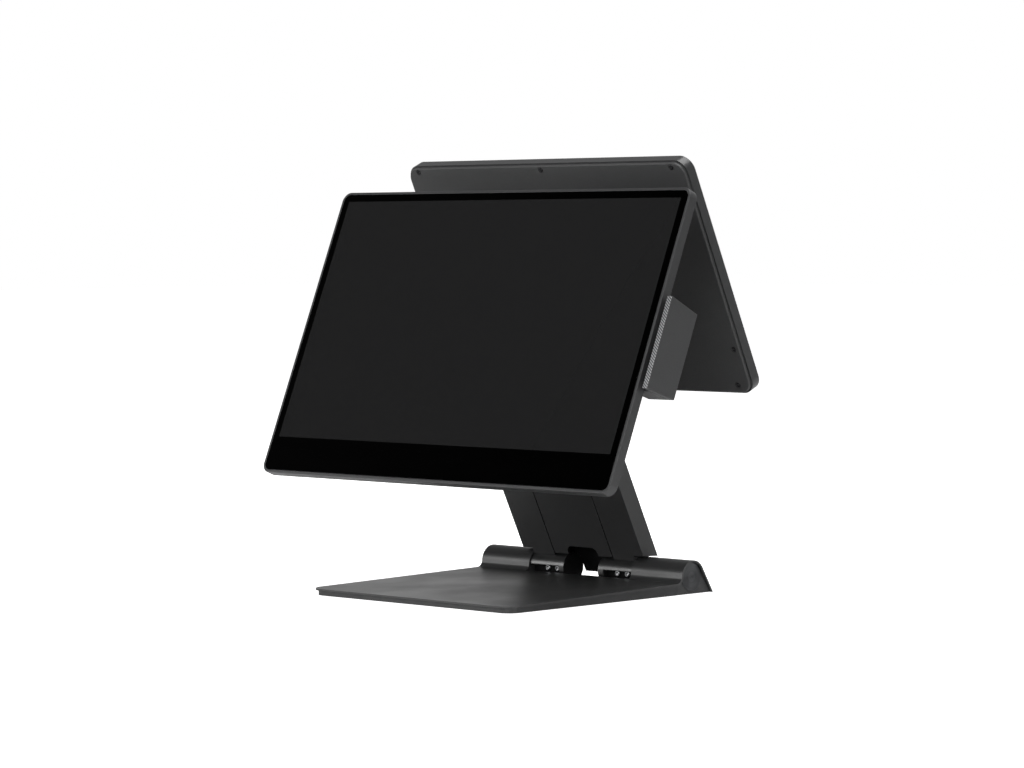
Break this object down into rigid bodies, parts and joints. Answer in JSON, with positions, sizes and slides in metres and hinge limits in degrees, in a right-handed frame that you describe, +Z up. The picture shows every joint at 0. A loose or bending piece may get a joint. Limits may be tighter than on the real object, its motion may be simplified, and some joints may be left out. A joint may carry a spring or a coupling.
{
  "type": "pos touchscreen terminal",
  "caption": "Countertop checkout terminal: wide black touchscreen on a leaning hinged arm and flat base, small customer display facing back, card swipe slot at the side.",
  "frame": {"origin": "middle of the base's footprint, on the desk, at the middle foot's lower face", "axes": "+Z up, +X to the operator's right, +Y from the operator towards the customer"},
  "size_m": [0.3699, 0.2279, 0.324],
  "materials": {
    "base_metal": "satin fine-sand powder coat, dark grey",
    "tray_metal": "satin powder coat, dark grey",
    "foot_rubber": "matte black",
    "ballast_steel": "matte primer grey",
    "spun_cap": "dark anodised, spun in fine rings",
    "shaft_steel": "ground steel",
    "arm_metal": "satin fine-sand powder coat, dark grey",
    "arm_cover_metal": "satin fine-sand powder coat, dark grey",
    "roll_metal": "satin, near black",
    "bright_screw": "bright nickel plate",
    "dark_screw": "black oxide",
    "frame_metal": "dark anodised, fine blast",
    "black_glass": "polished black-backed cover glass",
    "panel_metal": "plain pressed sheet",
    "cover_plastic": "fine texture, dark grey",
    "circuit_board": "green solder mask",
    "speaker_plastic": "matte black",
    "port_shell": "tin plate",
    "bracket_steel": "satin black",
    "button_plastic": "satin dark grey",
    "reader_metal": "satin fine-sand powder coat, dark grey",
    "reader_head": "polished steel"
  },
  "bodies": {
    "base": {"base_plate": "base_metal", "base_tray": "tray_metal", "rubber_feet": "foot_rubber", "ballast_plate": "ballast_steel", "tray_screws": "dark_screw", "hinge_housing_left": "tray_metal", "hinge_end_cap_left": "spun_cap", "hinge_shaft_left": "shaft_steel", "friction_unit_left": "shaft_steel", "hinge_housing_right": "tray_metal", "hinge_end_cap_right": "spun_cap", "hinge_shaft_right": "shaft_steel", "friction_unit_right": "shaft_steel"},
    "arm": {"arm_frame": "arm_metal", "arm_cable_cover": "arm_cover_metal", "arm_back_panel": "arm_cover_metal", "arm_panel_screws": "dark_screw", "arm_knuckle_left": "roll_metal", "knuckle_screws_left": "bright_screw", "arm_knuckle_right": "roll_metal", "knuckle_screws_right": "bright_screw", "arm_head": "arm_metal", "tilt_shaft": "shaft_steel", "rear_strut": "arm_metal", "strut_screws": "dark_screw", "rear_shaft": "shaft_steel"},
    "front_unit": {"display_frame": "frame_metal", "touch_glass": "black_glass", "lcd_panel": "panel_metal", "display_back_cover": "cover_plastic", "back_cover_screws": "dark_screw", "mainboard": "circuit_board", "heat_sink": "panel_metal", "storage_module": "circuit_board", "memory_module": "circuit_board", "speaker_left": "speaker_plastic", "speaker_right": "speaker_plastic", "dc_inlet": "port_shell", "network_port": "port_shell", "usb_port_a": "port_shell", "usb_port_b": "port_shell", "serial_port": "port_shell", "drawer_port": "port_shell", "video_port": "port_shell", "tilt_bracket": "bracket_steel", "tilt_bracket_screws": "dark_screw", "card_reader_wall": "reader_metal", "card_reader_body": "reader_metal", "card_reader_head": "reader_head", "card_reader_screws": "dark_screw"},
    "power_key": {"power_button": "button_plastic"},
    "rear_unit": {"customer_frame": "frame_metal", "customer_glass": "black_glass", "customer_lcd": "panel_metal", "customer_cover": "cover_plastic", "customer_cover_screws": "dark_screw", "customer_driver_board": "circuit_board", "customer_bracket": "bracket_steel", "customer_bracket_screws": "dark_screw"}
  },
  "joints": [
    {"name": "base_fold", "type": "hinge", "parent": "base", "child": "arm", "pos_m": [0, 0.0866, 0.013], "axis": [1, 0, 0], "range_deg": [-15, 15]},
    {"name": "front_tilt", "type": "hinge", "parent": "arm", "child": "front_unit", "pos_m": [0, -0.00673, 0.21672], "axis": [1, 0, 0], "range_deg": [-10, 20]},
    {"name": "rear_tilt", "type": "hinge", "parent": "arm", "child": "rear_unit", "pos_m": [0, 0.04975, 0.23805], "axis": [1, 0, 0], "range_deg": [-10, 10]},
    {"name": "power_press", "type": "slide", "parent": "front_unit", "child": "power_key", "axis": [1, 0, 0], "range_m": [0, 0.0006], "stiffness_N_per_m": 800}
  ]
}
